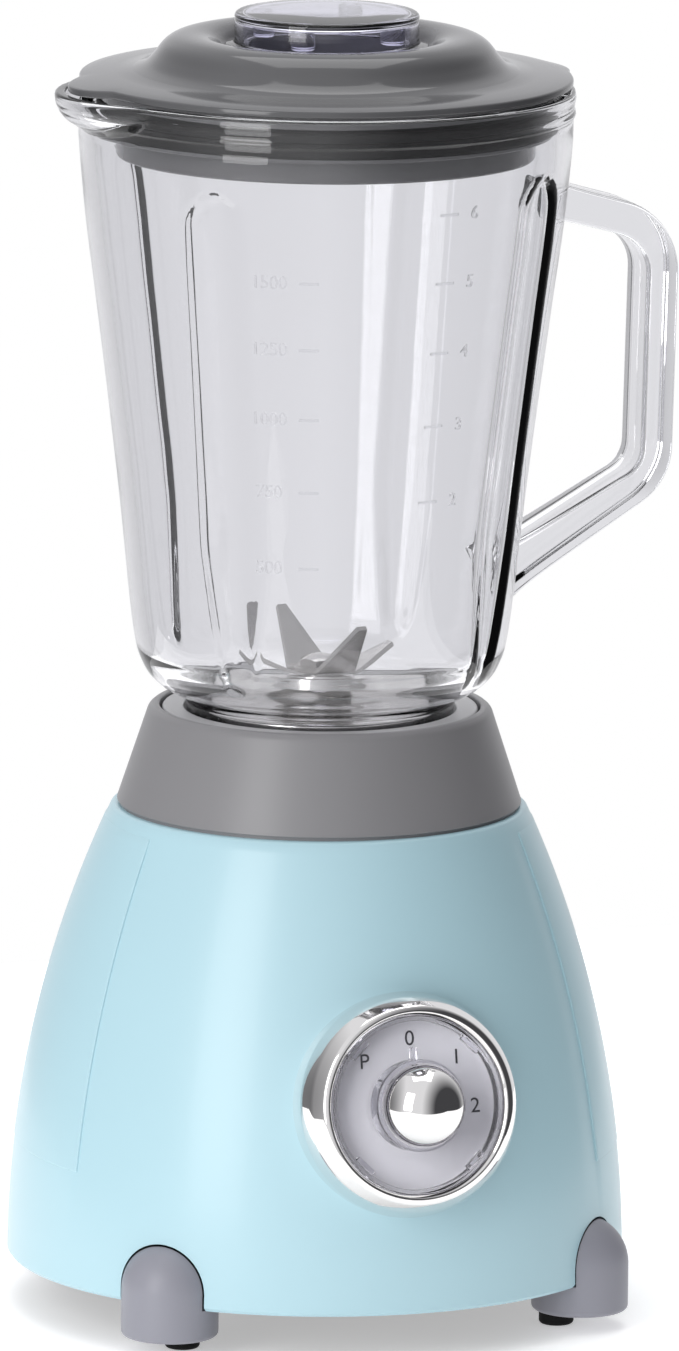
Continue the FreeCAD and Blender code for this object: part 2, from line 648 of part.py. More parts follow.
def make_lid():
    skin = turned((LID_HOLE_R, 368.0), (28.6, 368.0), (28.6, 381.9), (33.0, 381.9),
                  ((36.9, 385.4), (42.0, 386.4)), ((48.0, 384.7), (51.6, 380.6)),
                  ((54.4, 376.5), (58.6, 374.9)), (61.2, 374.4), (60.8, 353.0), (62.5, 353.0),
                  (63.5, 354.0), (63.5, GROOVE_BOTTOM - 1.6), (PLUG_R, GROOVE_BOTTOM - 1.2),
                  (PLUG_R, GROOVE_BOTTOM), (GROOVE_R, GROOVE_BOTTOM), (GROOVE_R, GROOVE_TOP),
                  (PLUG_R, GROOVE_TOP), (PLUG_R, BRIM_BOTTOM), (BRIM_R - 0.9, BRIM_BOTTOM),
                  ((BRIM_R, BRIM_BOTTOM + 0.9), (BRIM_R - 0.8, BRIM_BOTTOM + 2.0)),
                  (60.5, BRIM_TOP + 0.3), ((56.4, 378.9), (54.0, 381.8)), ((49.6, 387.0), (42.0, 388.7)),
                  ((36.0, 387.6), (32.2, WELL_FLOOR)), (LID_HOLE_R, WELL_FLOOR))
    tabs = [lid_tab(SPOUT_TAB_REACH, SPOUT_TAB_X), lid_tab(HANDLE_TAB_REACH, HANDLE_TAB_X)]
    return skin.fuse(tabs).removeSplitter()


def make_filler_cap():
    floor = WELL_FLOOR
    return turned((23.7, 370.0), (CAP_SKIRT_R, 370.0), (CAP_SKIRT_R, floor), (30.7, floor),
                  (30.7, floor + 1.4), (CAP_R, floor + 1.9), (CAP_R, CAP_TOP - 2.4),
                  ((CAP_R - 0.5, CAP_TOP - 1.2), (CAP_R - 1.8, CAP_TOP - 0.7)),
                  crown(CAP_R - 1.8, CAP_TOP - 0.7, CAP_TOP), (0, CAP_TOP - 2.6), (25.4, CAP_TOP - 2.6),
                  (25.4, floor + 2.0), (23.7, floor + 1.0))


# ---- Cord inlet ----

def gland_drum(radius, start=80.0, end=100.0):
    direction = FreeCAD.Vector(0, 1, 0)
    return Part.makeCylinder(radius, end - start, FreeCAD.Vector(0, start, GLAND_Z), direction)


def make_gland(outer):
    flange = gland_drum(GLAND_R + 2.5, 88.0, 95.4).cut(outer)
    sleeve = gland_drum(GLAND_R, 84.0, 97.0)
    return sleeve.fuse(flange).cut(gland_drum(GLAND_BORE_R)).removeSplitter()


def make_terminal_block():
    case = block(-12.0, 12.0, 60.0, 70.0, PLATE_TOP, PLATE_TOP + 10.0)
    wells = [drum(2.2, PLATE_TOP + 5.0, PLATE_TOP + 10.0, x, 65.0) for x in (-7.5, 0.0, 7.5)]
    return case.cut(wells)


def build_base():
    outer = body_volume()
    save("housing", make_housing(outer))
    save("rear_cover", cover_skin(-COVER_RECESS, COVER_PROUD))
    save("base_plate", make_base_plate())
    save("collar", make_collar())
    save("jug_seat", make_jug_seat())
    save("shaft_seal", make_shaft_seal())
    foot_screws = []
    for place, angle in FOOT_ANGLES.items():
        save("foot_" + place, make_foot(angle, outer))
        save("foot_pad_" + place, make_pad(angle))
        x, y = polar(PAD_ORBIT, angle)
        foot_screws.append(make_screw(x, y, PAD_TOP, SCREW_HEAD_H, 23.0))
    save("foot_screws", *foot_screws)
    spots = [polar(PLATE_SCREW_ORBIT, angle) for angle in PLATE_SCREW_ANGLES]
    head_low = BODY_BOTTOM - SCREW_HEAD_H
    save("plate_screws", *[make_screw(x, y, head_low, SCREW_HEAD_H, 32.0) for x, y in spots])
    save("cord_gland", make_gland(outer))
    save("terminal_block", make_terminal_block())
    save("dial_bezel", make_bezel(outer))
    save("dial_face", at_dial(tube(FACE_R, SPINDLE_R + 1.5, 1.5, FACE_FRONT)))
    save("dial_lens", make_dial_lens())
    save("switch_body", make_switch_body())
    save("switch_screws", make_switch_screw(-SWITCH_SCREW_X), make_switch_screw(SWITCH_SCREW_X))


def build_knob():
    save("knob_ring", make_knob_ring())
    save("knob_cap", make_knob_cap())
    save("switch_spindle", at_dial(drum(SPINDLE_R, -18.0, KNOB_SHOULDER + 2.0)))


def build_motor():
    save("motor_stator", make_stator())
    save("motor_windings", make_winding(1), make_winding(-1))
    save("motor_bracket_bottom", make_bottom_bracket())
    save("motor_bracket_top", make_top_bracket())
    save("lower_bearing", make_bearing(LOWER_PLATE))
    save("upper_bearing", make_bearing(UPPER_PLATE + 3.0))
    save("motor_bolts", *[make_motor_bolt(x, y) for x, y in four(BOLT_X, BOLT_Y)])
    spacers = []
    for x, y in four(BOLT_X, BOLT_Y):
        spacers.append(tube(4.0, BOLT_R + 0.1, LOWER_PLATE + PLATE_T, STACK_BOTTOM, x, y))
        spacers.append(tube(4.0, BOLT_R + 0.1, STACK_TOP, UPPER_PLATE, x, y))
    save("motor_spacers", *spacers)
    save("motor_mounts", *[tube(6.0, 1.6, 30.0, LOWER_PLATE, x, y) for x, y in four(MOUNT_X, MOUNT_Y)])
    screws = []
    for x, y in four(MOUNT_X, MOUNT_Y):
        head = drum(SCREW_HEAD_R, LOWER_PLATE + PLATE_T, LOWER_PLATE + PLATE_T + SCREW_HEAD_H, x, y)
        screws.append(head.fuse(drum(SCREW_R, 21.0, LOWER_PLATE + PLATE_T, x, y)))
    save("motor_screws", *screws)
    save("brush_holders", make_brush_holder(0), make_brush_holder(180))
    save("carbon_brushes", make_brush(0), make_brush(180))
    save("motor_shaft", drum(SHAFT_R, LOWER_PLATE, SOCKET_Z))
    save("rotor_core", make_rotor_core())
    save("commutator", make_commutator())
    save("cooling_fan", make_fan())
    save("drive_coupling", make_drive_coupling())


def build_jug():
    save("glass_jug", make_jug())
    save("jar_nut", make_jar_nut())
    save("blade_gasket", tube(FLANGE_R, HUB_R + 0.1, FLANGE_TOP, JUG_BOTTOM))
    save("blade_base", make_blade_base())
    save("shaft_bush", make_bush())
    save("hub_seal", tube(BUSH_R, BLADE_SHAFT_R + 0.3, 190.4, 191.9))
    save("driven_coupling", make_driven_coupling())
    save("blade_shaft", drum(BLADE_SHAFT_R, SOCKET_Z + 2.6, BLADE_PLANE + 2 * BLADE_T + 3.0))
    save("blade_washer", tube(7.0, BLADE_SHAFT_R, 192.2, BLADE_PLANE))
    save("lower_blade", make_blade(BLADE_PLANE, 26.0, 26.0, 5.0))
    save("upper_blade", make_blade(BLADE_PLANE + BLADE_T, 30.0, 48.0, -78.0))
    save("blade_nut", make_blade_nut(BLADE_PLANE + 2 * BLADE_T))


def build_lid():
    save("lid", make_lid())
    save("lid_gasket", tube(GASKET_R, GROOVE_R, GROOVE_BOTTOM + 0.1, GROOVE_TOP - 0.1))
    save("filler_cap", make_filler_cap())


os.makedirs("parts", exist_ok=True)
build_base()
build_knob()
build_motor()
build_jug()
build_lid()
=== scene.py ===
import json
import math

import bmesh
import bpy
from mathutils import Matrix, Vector


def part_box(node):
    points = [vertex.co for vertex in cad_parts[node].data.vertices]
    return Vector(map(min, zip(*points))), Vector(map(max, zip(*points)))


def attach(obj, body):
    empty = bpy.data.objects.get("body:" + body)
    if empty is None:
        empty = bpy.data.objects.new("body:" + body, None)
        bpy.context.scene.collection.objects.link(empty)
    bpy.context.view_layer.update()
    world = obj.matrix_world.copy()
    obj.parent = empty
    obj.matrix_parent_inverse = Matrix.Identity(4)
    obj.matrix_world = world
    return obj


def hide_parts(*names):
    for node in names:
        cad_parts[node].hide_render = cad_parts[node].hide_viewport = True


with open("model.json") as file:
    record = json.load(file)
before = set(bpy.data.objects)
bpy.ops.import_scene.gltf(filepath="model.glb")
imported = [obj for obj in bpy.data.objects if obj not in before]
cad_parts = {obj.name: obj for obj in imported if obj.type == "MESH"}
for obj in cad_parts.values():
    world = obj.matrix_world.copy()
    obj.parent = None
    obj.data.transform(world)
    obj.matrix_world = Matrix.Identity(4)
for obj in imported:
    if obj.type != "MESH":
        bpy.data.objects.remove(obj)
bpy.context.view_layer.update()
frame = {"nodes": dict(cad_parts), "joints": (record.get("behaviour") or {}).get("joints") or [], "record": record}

# Lengths in this script are millimetres, as in the CAD source. place() and combine() turn them
# into metres.
MM = 0.001
STEPS = 256
ARC_STEP = math.radians(7.5)
SHARP = 32.0
ON_AXIS = 1e-6

# Pieces in these materials let light through to what stands behind them
CLEAR = ("jug_glass", "clear_plastic", "violet_plastic", "etched")

# Four places between the axes, in degrees from the handle
DIAGONALS = (45.0, 135.0, 225.0, 315.0)

# Housing: one large arc turned about the drive axis
BODY_ARC_R = 335.0
BODY_MAX_R = 93.65
BODY_MAX_Z = 13.0
BODY_WALL = 2.8
DECK_HOLE_R = 20.0
DIAL_HOLE_R = 30.0
GLAND_Z = 30.0
GLAND_R = 6.5

# Bands where the housing dips toward each edge of the rear cover, in degrees from the dial
BAND_RIGHT = (43.0, 49.6)
BAND_LEFT = (-69.6, -44.0)
BAND_DIP = 0.45
BAND_LOW = 30.0
BAND_RISE = 30.0
BAND_HIGH = 151.0
BAND_FALL = 8.0

# Rear cover: a skin round the back, from its right edge
COVER_START = -40.0
COVER_SWEEP = 240.0

# Feet: short posts with a domed head, each let into the housing
FOOT_PLACES = ("front_left", "front_right", "rear_right", "rear_left")
FOOT_R = 14.65
FOOT_SHOULDER = 20.0
FOOT_CROWN = 34.2
FOOT_GAP = 0.5
GAP_CROWN = 34.8

# Flutes of the jug's wall
FLUTE_TOP = 350.0
FLUTE_FULL = 240.0
FLUTE_FOOT = 194.0
FLUTE_HALF = 11.0
FLUTE_DEPTH = 2.7
WALL_T = 4.8

# Spout: a bowl whose front bulges out past the rim
SPOUT_X = 44.5
SPOUT_R = 39.1
SPOUT_FLOOR = 358.4
SPOUT_WALL = 3.4
SPOUT_LIP = 372.9
SPOUT_POWER = 2.6
SPOUT_BLEND = 1.6
JUG_RIM = 373.0

# Handle: a flat strap
HANDLE_T = 10.5
HANDLE_W = 21.0

# Lid: its brim widens to two tabs, given as (orbit, radius, angle)
BRIM_R = 74.3
BRIM_Z = 374.0
WARP_START = 69.0
TABS = ((60.0, 20.4, 180.0), (58.0, 18.2, 0.0))

# Floor of the lid's well, where the filler cap's flange rests
FLANGE_Z = 384.3

# Posts in the filler cap, between its roof and its flange
POST_ANGLES = (-128.0, -38.0, 52.0, 142.0)
POST_ORBIT = 20.6
POST_R = 3.6

# Marks on the dial, clockwise from the top
DIAL_MARKS = {"P": -47.0, "0": 0.0, "1": 47.0, "2": 94.0}
MARK_ORBIT = 19.8
MARK_SIZE = 6.4
FACE_FRONT = 4.0

# Volume marks on the jug: name, angle, place of the numbers beside the bars, number and height
GRADUATIONS = (
    ("cup", -78.0, 9.0, {"6": 344.0, "5": 323.0, "4": 301.5, "3": 279.0, "2": 255.6}),
    ("ml", -112.0, -12.0,
     {"1500": 324.0, "1250": 303.5, "1000": 282.0, "750": 259.5, "500": 236.0}),
)
NUMBER_SIZE = 5.6


def mm_box(node):
    """Lowest and highest corner of a CAD node, in millimetres."""
    low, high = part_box(node)
    return low / MM, high / MM


def add_object(name, data):
    """New object in the scene that shows the given data."""
    made = bpy.data.objects.new(name, data)
    bpy.context.scene.collection.objects.link(made)
    return made


# ---- Outlines ----

def polar(radius, degrees):
    """X and Y of a point at a radius and an angle."""
    return radius * math.cos(math.radians(degrees)), radius * math.sin(math.radians(degrees))


def round_corner(before, corner, after, radius):
    """Points of the arc that rounds one corner of an outline."""
    here = Vector(corner[:2])
    back = (Vector(before[:2]) - here).normalized()
    on = (Vector(after[:2]) - here).normalized()
    half = back.angle(on) / 2
    reach = radius / math.tan(half)
    centre = here + (back + on).normalized() * (radius / math.sin(half))
    start = here + back * reach - centre
    turn = math.pi - 2 * half
    side = 1 if back.x * on.y - back.y * on.x < 0 else -1
    count = max(2, math.ceil(turn / ARC_STEP))
    points = []
    for i in range(count + 1):
        angle = side * turn * i / count
        x = start.x * math.cos(angle) - start.y * math.sin(angle)
        y = start.x * math.sin(angle) + start.y * math.cos(angle)
        points.append((centre.x + x, centre.y + y))
    return points


def rounded(*corners, closed=True):
    """Outline whose corners are (r, z), or (r, z, radius) where they are rounded."""
    points = []
    for i, corner in enumerate(corners):
        ends = not closed and i in (0, len(corners) - 1)
        if len(corner) < 3 or ends:
            points.append(tuple(corner[:2]))
        else:
            after = corners[(i + 1) % len(corners)]
            points += round_corner(corners[i - 1], corner, after, corner[2])
    return points


def smooth_line(*knots, spans=6):
    """Catmull-Rom line through its knots."""
    padded = [knots[0], *knots, knots[-1]]
    points = []
    for a, b, c, d in zip(padded, padded[1:], padded[2:], padded[3:]):
        for i in range(spans):
            t = i / spans
            points.append(tuple(
                0.5 * (2 * q + (r - p) * t + (2 * p - 5 * q + 4 * r - s) * t * t
                       + (3 * q - p - 3 * r + s) * t ** 3)
                for p, q, r, s in zip(a, b, c, d)))
    return points + [tuple(knots[-1])]


def crown_line(edge_r, edge_z, top_z, count=14):
    """Points of a dome's outline, from its edge up to the axis."""
    rise = top_z - edge_z
    radius = (edge_r ** 2 + rise ** 2) / (2 * rise)
    half = math.asin(min(1.0, edge_r / radius))
    if rise > radius:
        half = math.pi - half
    points = []
    for i in range(count + 1):
        angle = half * (1 - i / count)
        points.append((radius * math.sin(angle), top_z - radius * (1 - math.cos(angle))))
    points[-1] = (0.0, top_z)
    return points


def body_r(z, inset=0.0):
    """Radius of the housing at a height, or of a skin inset from it."""
    return BODY_MAX_R - BODY_ARC_R + math.sqrt((BODY_ARC_R - inset) ** 2 - (z - BODY_MAX_Z) ** 2)


def body_line(low, high, inset=0.0, count=48):
    """Outline of the housing, or of a skin inset from it, between two heights."""
    heights = [low + (high - low) * i / count for i in range(count + 1)]
    return [(body_r(z, inset), z) for z in heights]


# ---- Meshes ----

def lathe(outline, warp=None, steps=STEPS, start=0.0, sweep=360.0):
    """Mesh data of an outline turned about Z. A point on the axis becomes one vertex."""
    full = abs(sweep) >= 360.0
    count = steps if full else steps + 1
    mesh = bmesh.new()
    columns = []
    for r, z in outline:
        if r < ON_AXIS:
            columns.append([mesh.verts.new((0, 0, z))] * count)
            continue
        ring = []
        for i in range(count):
            angle = start + sweep * i / steps
            radius, height = warp(angle, r, z) if warp else (r, z)
            x, y = polar(radius, angle)
            ring.append(mesh.verts.new((x, y, height)))
        columns.append(ring)
    for a, b in zip(columns, columns[1:] + columns[:1]):
        for i in range(steps):
            j = (i + 1) % count
            face = list(dict.fromkeys([a[i], a[j], b[j], b[i]]))
            if len(face) > 2:
                mesh.faces.new(face)
    if not full:
        mesh.faces.new([ring[0] for ring in columns])
        mesh.faces.new([ring[-1] for ring in reversed(columns)])
    return mesh


def prism(points, low, high, bevel=0.0):
    """Mesh data of a flat outline of (x, y) points between two heights, its long edges softened."""
    mesh = bmesh.new()
    bottom = [mesh.verts.new((x, y, low)) for x, y in points]
    top = [mesh.verts.new((x, y, high)) for x, y in points]
    mesh.faces.new(list(reversed(bottom)))
    mesh.faces.new(top)
    for i in range(len(points)):
        j = (i + 1) % len(points)
        mesh.faces.new([bottom[i], bottom[j], top[j], top[i]])
    if bevel:
        bmesh.ops.bevel(mesh, geom=list(mesh.edges), offset=bevel, segments=2, affect="EDGES",
                        profile=0.5)
    return mesh


def moved(mesh, x, y):
    """The same mesh data, shifted sideways."""
    mesh.transform(Matrix.Translation((x, y, 0)))
    return mesh


def to_metres(name, mesh, matrix=None):
    """Closed mesh in metres from mesh data in millimetres."""
    bmesh.ops.recalc_face_normals(mesh, faces=mesh.faces)
    data = bpy.data.meshes.new(name)
    mesh.to_mesh(data)
    mesh.free()
    if matrix is not None:
        data.transform(matrix)
    data.transform(Matrix.Scale(MM, 4))
    return data


def smooth(data, sharp=SHARP):
    """Shades a mesh smooth, except across edges sharper than an angle in degrees."""
    data.shade_smooth()
    data.set_sharp_from_angle(angle=math.radians(sharp))


def place(name, mesh, body, material, nodes=(), matrix=None, sharp=SHARP):
    """Turns mesh data into a piece in metres that rides on a body and stands for CAD nodes."""
    data = to_metres(name, mesh, matrix)
    smooth(data, sharp)
    data.materials.append(material)
    piece = add_object(name, data)
    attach(piece, body)
    if nodes:
        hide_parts(*nodes)
    if material in [MATERIALS[key] for key in CLEAR]:
        piece.visible_shadow = False
    return piece


def combine(piece, mesh, operation, sharp=SHARP):
    """Joins mesh data to a piece, or cuts it away, and keeps the result."""
    data = to_metres("tool", mesh)
    data.shade_smooth()
    tool = add_object("tool", data)
    modifier = piece.modifiers.new("combine", "BOOLEAN")
    modifier.operation = operation
    modifier.solver = "MANIFOLD"
    modifier.object = tool
    bpy.context.view_layer.update()
    graph = bpy.context.evaluated_depsgraph_get()
    result = bpy.data.meshes.new_from_object(piece.evaluated_get(graph))
    piece.modifiers.clear()
    old = piece.data
    result.name = old.name
    piece.data = result
    bpy.data.meshes.remove(old)
    bpy.data.objects.remove(tool)
    smooth(piece.data, sharp)


def dial_matrix():
    """Places a shape drawn about Z on the dial's leaning axis, taken from the knob's joint."""
    joint = next(j for j in frame["joints"] if j["name"] == "knob_turn")
    out = -Vector(joint["axis"]).normalized()
    side = Vector((1, 0, 0))
    up = out.cross(side)
    turn = Matrix((side, up, out)).transposed().to_4x4()
    return Matrix.Translation(Vector(joint["pos_m"]) / MM) @ turn


# ---- Materials ----

# Part of a noise texture's range that drives colour and roughness
NOISE_SPAN = (0.1, 0.9)
# Scale of the broad noise behind slow changes of shade
BROAD = 18.0


def shader(name, colour, roughness, **sockets):
    """Principled material; sockets are given by name with spaces as underscores."""
    material = bpy.data.materials.new(name)
    material.use_nodes = True
    principled = material.node_tree.nodes["Principled BSDF"]
    principled.inputs["Base Color"].default_value = (*colour, 1)
    principled.inputs["Roughness"].default_value = roughness
    for key, value in sockets.items():
        principled.inputs[key.replace("_", " ")].default_value = value
    return material


def node(material, kind):
    """New node in a material."""
    return material.node_tree.nodes.new(kind)


def link(material, source, socket, target, entry):
    """Links one node's output to another's input."""
    material.node_tree.links.new(source.outputs[socket], target.inputs[entry])


def noise(material, scale, detail=3.0, stretch=(1, 1, 1)):
    """Noise fixed to the object's own coordinates; stretch changes its scale along each axis."""
    coordinates = node(material, "ShaderNodeTexCoord")
    mapping = node(material, "ShaderNodeMapping")
    mapping.inputs["Scale"].default_value = stretch
    texture = node(material, "ShaderNodeTexNoise")
    texture.inputs["Scale"].default_value = scale
    texture.inputs["Detail"].default_value = detail
    link(material, coordinates, "Object", mapping, "Vector")
    link(material, mapping, "Vector", texture, "Vector")
    return texture


def vary_colour(material, texture, dark, light):
    """Lets a texture move the base colour between two close shades."""
    principled = material.node_tree.nodes["Principled BSDF"]
    ramp = node(material, "ShaderNodeValToRGB")
    for stop, position, colour in zip(ramp.color_ramp.elements, NOISE_SPAN, (dark, light)):
        stop.position = position
        stop.color = (*colour, 1)
    link(material, texture, "Fac", ramp, "Fac")
    link(material, ramp, "Color", principled, "Base Color")


def vary_roughness(material, texture, low, high):
    """Lets a texture move the roughness between two values."""
    principled = material.node_tree.nodes["Principled BSDF"]
    spread = node(material, "ShaderNodeMapRange")
    ends = {"From Min": NOISE_SPAN[0], "From Max": NOISE_SPAN[1], "To Min": low, "To Max": high}
    for name, value in ends.items():
        spread.inputs[name].default_value = value
    link(material, texture, "Fac", spread, "Value")
    link(material, spread, "Result", principled, "Roughness")


def add_bump(material, texture, strength, depth_mm):
    """Relief of a given depth from a texture."""
    principled = material.node_tree.nodes["Principled BSDF"]
    bump = node(material, "ShaderNodeBump")
    bump.inputs["Strength"].default_value = strength
    bump.inputs["Distance"].default_value = depth_mm * MM
    link(material, texture, "Fac", bump, "Height")
    link(material, bump, "Normal", principled, "Normal")


def tinted(colour, factor):
    """A colour made darker or lighter."""
    return tuple(min(1.0, c * factor) for c in colour)


def plain(name, colour, roughness, spread, grain, bump, depth=0.03, stretch=(1, 1, 1), **sockets):
    """Material with a slow change of shade and roughness and a fine grain in relief."""
    material = shader(name, colour, roughness, **sockets)
    texture = noise(material, grain, stretch=stretch)
    broad = noise(material, BROAD, detail=2.0)
    vary_colour(material, broad, tinted(colour, 1 - spread), tinted(colour, 1 + spread))
    vary_roughness(material, broad, roughness * 0.88, roughness * 1.12)
    add_bump(material, texture, bump, depth)
    return material


def clear(name, colour, ior, wave, depth):
    """Clear material with the faint waves of a moulded surface."""
    material = shader(name, colour, 0.0, IOR=ior, Transmission_Weight=1.0)
    add_bump(material, noise(material, wave, detail=1.0), 1.0, depth)
    return material


def make_materials():
    """Materials by slot name, with a few more than the record has."""
    return {
        "body_blue": plain("gloss_blue", (0.45, 0.665, 0.735), 0.30, spread=0.012, grain=260.0,
                           bump=0.04, depth=0.02, Coat_Weight=0.12, Coat_Roughness=0.10),
        "grey_plastic": plain("satin_grey", (0.235, 0.232, 0.24), 0.36, spread=0.02, grain=2600.0,
                              bump=0.10, depth=0.02),
        "lid_grey": plain("gloss_grey", (0.10, 0.10, 0.104), 0.10, spread=0.02, grain=900.0,
                          bump=0.05, depth=0.02),
        "foot_grey": plain("foot_grey", (0.275, 0.275, 0.315), 0.42, spread=0.02, grain=2600.0,
                           bump=0.10, depth=0.02),
        "nut_grey": plain("light_grey", (0.42, 0.42, 0.43), 0.34, spread=0.02, grain=2600.0,
                          bump=0.08, depth=0.02),
        "black_plastic": plain("black_plastic", (0.02, 0.02, 0.022), 0.42, spread=0.15,
                               grain=2200.0, bump=0.2, depth=0.03),
        "black_rubber": plain("black_rubber", (0.008, 0.008, 0.008), 0.6, spread=0.2,
                              grain=1500.0, bump=0.3, depth=0.04, Specular_IOR_Level=0.15),
        "jug_glass": clear("jug_glass", (0.93, 0.93, 0.945), 1.5, 38.0, 0.05),
        "clear_plastic": clear("clear_plastic", (0.945, 0.94, 0.98), 1.49, 60.0, 0.02),
        "violet_plastic": clear("violet_plastic", (0.87, 0.865, 0.955), 1.49, 60.0, 0.02),
        "chrome_trim": plain("chrome", (0.86, 0.85, 0.84), 0.035, spread=0.01, grain=120.0,
                             bump=0.02, depth=0.01, Metallic=1.0),
        "dial_silver": plain("dial_silver", (0.86, 0.86, 0.87), 0.40, spread=0.03, grain=3000.0,
                             bump=0.10, depth=0.01),
        "ink": plain("ink", (0.03, 0.03, 0.035), 0.4, spread=0.2, grain=3000.0, bump=0.1,
                     depth=0.01),
        "blade_steel": plain("polished_steel", (0.62, 0.61, 0.60), 0.16, spread=0.03, grain=500.0,
                             bump=0.06, depth=0.02, stretch=(1, 1, 8), Metallic=1.0),
        "zinc_steel": plain("zinc_steel", (0.58, 0.58, 0.60), 0.3, spread=0.08, grain=700.0,
                            bump=0.1, depth=0.02, Metallic=1.0),
        "lamination": plain("lamination", (0.22, 0.21, 0.21), 0.45, spread=0.15, grain=500.0,
                            bump=0.6, depth=0.15, stretch=(0.02, 0.02, 4), Metallic=0.8),
        "copper": plain("enamelled_copper", (0.62, 0.24, 0.10), 0.3, spread=0.2, grain=420.0,
                        bump=0.7, depth=0.3, stretch=(0.05, 3, 0.05), Metallic=0.8,
                        Coat_Weight=0.5),
        "bracket_aluminium": plain("cast_aluminium", (0.55, 0.55, 0.56), 0.45, spread=0.06,
                                   grain=900.0, bump=0.3, depth=0.05, Metallic=1.0),
        "bronze": plain("sintered_bronze", (0.5, 0.32, 0.14), 0.4, spread=0.1, grain=1200.0,
                        bump=0.3, depth=0.03, Metallic=1.0),
        "carbon": plain("carbon", (0.03, 0.03, 0.032), 0.5, spread=0.2, grain=1200.0, bump=0.3,
                        depth=0.03),
        "etched": plain("etched_mark", (0.90, 0.90, 0.91), 0.2, spread=0.02, grain=900.0,
                        bump=0.2, depth=0.03, Transmission_Weight=0.97, IOR=1.3),
    }


MATERIALS = make_materials()


def coat_cad_nodes():
    """Every CAD node that is carried over gets the finish of its slot."""
    for part in frame["record"]["subparts"]:
        data = frame["nodes"][part["node"]].data
        data.materials.clear()
        data.materials.append(MATERIALS[part["material_slot"]])


# ---- Base ----

def band_warp(angle, r, z):
    """Dips the skin beside both edges of the rear cover."""
    from_dial = (angle + 90.0 + 180.0) % 360.0 - 180.0
    dip = 0.0
    if BAND_RIGHT[0] < from_dial < BAND_RIGHT[1] + 1:
        dip = min(1.0, (from_dial - BAND_RIGHT[0]) / (BAND_RIGHT[1] - BAND_RIGHT[0]))
    elif BAND_LEFT[0] - 1 < from_dial < BAND_LEFT[1]:
        dip = min(1.0, (BAND_LEFT[1] - from_dial) / (BAND_LEFT[1] - BAND_LEFT[0]))
    above = min(1.0, max(0.0, (z - BAND_LOW) / BAND_RISE))
    below = min(1.0, max(0.0, (BAND_HIGH - z) / BAND_FALL))
    soft = dip * dip * (3 - 2 * dip)
    return r - BAND_DIP * soft * (above * below), z


def build_housing():
    """Shell with its deck, cut for the dial and for the cord's gland."""
    low, high = mm_box("housing")
    ceiling = high.z - BODY_WALL
    outline = body_line(low.z + 1.0, high.z - 0.8)
    outline += [(body_r(high.z) - 0.4, high.z - 0.15), (body_r(high.z) - 1.2, high.z)]
    outline += [(DECK_HOLE_R, high.z), (DECK_HOLE_R, ceiling)]
    outline += list(reversed(body_line(low.z, ceiling, BODY_WALL)))
    outline += [(body_r(low.z) - 0.8, low.z)]
    piece = place("housing_shell", lathe(outline, band_warp, steps=360), "base",
                  MATERIALS["body_blue"], ["housing"])
    hole = lathe([(0, -20.0), (DIAL_HOLE_R, -20.0), (DIAL_HOLE_R, 20.0), (0, 20.0)], steps=96)
    hole.transform(dial_matrix())
    combine(piece, hole, "DIFFERENCE")
    inlet = lathe([(0, 80.0), (GLAND_R, 80.0), (GLAND_R, 100.0), (0, 100.0)], steps=64)
    to_back = Matrix.Rotation(math.radians(-90.0), 4, "X")
    inlet.transform(Matrix.Translation((0, 0, GLAND_Z)) @ to_back)
    combine(piece, inlet, "DIFFERENCE")
    return piece


def build_rear_cover():
    """Skin that stands a little proud of the housing."""
    low, high = mm_box("rear_cover")
    outer = body_line(low.z + 0.8, high.z - 0.8, -0.2)
    outline = [(body_r(low.z, 0.4), low.z)] + outer + [(body_r(high.z, 0.4), high.z)]
    outline += list(reversed(body_line(low.z, high.z, 1.3)))
    skin = lathe(outline, steps=240, start=COVER_START, sweep=COVER_SWEEP)
    piece = place("rear_cover_shell", skin, "base", MATERIALS["body_blue"], ["rear_cover"])
    bevel_ends(piece, 0.3)
    return piece


def bevel_ends(piece, width):
    """Rounds the edges of the flat faces at both ends of a swept skin."""
    mesh = bmesh.new()
    mesh.from_mesh(piece.data)
    ends = [face for face in mesh.faces if len(face.verts) > 8]
    edges = {edge for face in ends for edge in face.edges}
    bmesh.ops.bevel(mesh, geom=list(edges), offset=width * MM, segments=3, affect="EDGES",
                    profile=0.5)
    mesh.to_mesh(piece.data)
    mesh.free()
    smooth(piece.data)


def build_collar():
    """Grey ring that the jug drops into."""
    low, high = mm_box("collar")
    outline = rounded((59.0, low.z), (60.5, low.z), (60.5, low.z + 1.0), (61.35, low.z + 1.0, 0.3),
                      (52.0, high.z - 1.2, 3.0), (50.5, high.z, 1.2), (48.6, high.z, 0.6),
                      (48.6, low.z + 2.6), (50.4, low.z + 2.6), (50.4, high.z - 6.0))
    place("collar_ring", lathe(outline), "base", MATERIALS["grey_plastic"], ["collar"])


